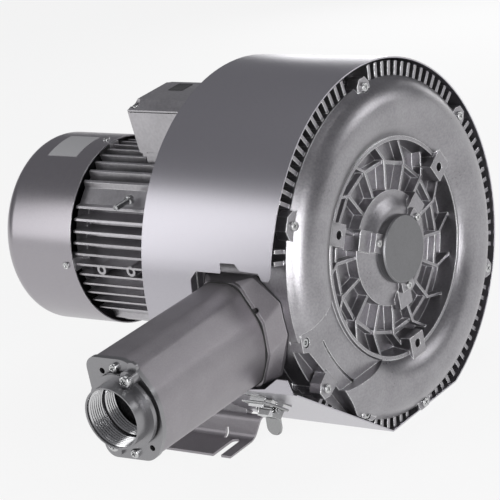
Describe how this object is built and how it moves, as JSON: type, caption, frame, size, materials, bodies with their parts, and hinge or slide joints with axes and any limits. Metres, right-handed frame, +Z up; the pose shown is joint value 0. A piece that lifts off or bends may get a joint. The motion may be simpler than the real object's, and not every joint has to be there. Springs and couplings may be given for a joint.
{
  "type": "two-stage side channel blower",
  "caption": "Two-stage side channel blower with flange-mounted finned motor, ribbed front cover, sheet shroud, side silencer with threaded neck, hat-section foot and draw latch.",
  "frame": {"origin": "centre of the four foot slots, on the floor plane under the feet", "axes": "+Y along the shaft from the ribbed front cover to the motor's fan cowl, +Z up, +X to the inlet side as seen from the front, so the silencer points to -X"},
  "size_m": [0.682, 0.517, 0.43],
  "materials": {
    "cast": "bead-blasted die casting",
    "machined": "matt, fine turned",
    "shroud_sheet": "satin silver paint",
    "satin_paint": "satin silver-grey paint",
    "cowl_sheet": "satin silver-grey paint",
    "motor_paint": "satin grey paint",
    "zinc": "bright zinc plate",
    "steel": "ground",
    "lamination": "varnished sheet stack",
    "copper": "varnished copper wire",
    "gasket": "matt",
    "seal_rubber": "satin",
    "foam": "open foam",
    "fan_plastic": "moulded",
    "insulator": "moulded"
  },
  "bodies": {
    "housing": {"front_cover": "cast", "hub_cap": "machined", "hub_cap_screws": "zinc", "cover_screws": "zinc", "tie_screws": "zinc", "front_gasket": "gasket", "middle_casing": "cast", "rear_gasket": "gasket", "rear_casing": "cast", "front_bearing": "steel", "rear_bearing": "steel", "shaft_seals": "seal_rubber", "outlet_adapter": "cast", "outlet_gasket": "gasket", "silencer_tube": "satin_paint", "silencer_liner": "foam", "silencer_end_plate": "cast", "outlet_flange": "cast", "outlet_flange_screws": "zinc", "end_plate_screws": "zinc", "inlet_adapter": "cast", "inlet_gasket": "gasket", "inlet_flange": "cast", "inlet_flange_screws": "zinc", "shroud": "shroud_sheet", "foot_bracket": "shroud_sheet", "foot_screws": "zinc", "latch_base": "zinc", "latch_catch": "zinc", "motor_housing": "motor_paint", "stator_core": "lamination", "stator_windings": "copper", "front_shield": "motor_paint", "rear_shield": "motor_paint", "shield_screws": "zinc", "fan_cowl": "cowl_sheet", "cowl_screws": "zinc", "terminal_box": "motor_paint", "terminal_lid": "motor_paint", "lid_seal": "gasket", "lid_screws": "zinc", "terminal_block": "insulator", "gland_plugs": "insulator"},
    "rotor": {"shaft": "steel", "rotor_core": "lamination", "front_impeller": "cast", "rear_impeller": "cast", "spacer_sleeve": "steel", "impeller_nut": "zinc", "cooling_fan": "fan_plastic"},
    "lever": {"latch_lever": "zinc"},
    "bail": {"latch_bail": "zinc"}
  },
  "joints": [
    {"name": "rotor_spin", "type": "hinge", "parent": "housing", "child": "rotor", "pos_m": [0, -0.245, 0.215], "axis": [0, 1, 0], "continuous": true},
    {"name": "latch_lever_hinge", "type": "hinge", "parent": "housing", "child": "lever", "pos_m": [-0.17075, -0.165, 0.08719], "axis": [0, 1, 0], "range_deg": [0, 95]},
    {"name": "latch_bail_hinge", "type": "hinge", "parent": "lever", "child": "bail", "pos_m": [-0.16003, -0.165, 0.08144], "axis": [0, 1, 0], "range_deg": [-96, 1]}
  ],
  "couplings": [
    {"joint": "latch_bail_hinge", "follows": "latch_lever_hinge", "ratio": -1}
  ]
}
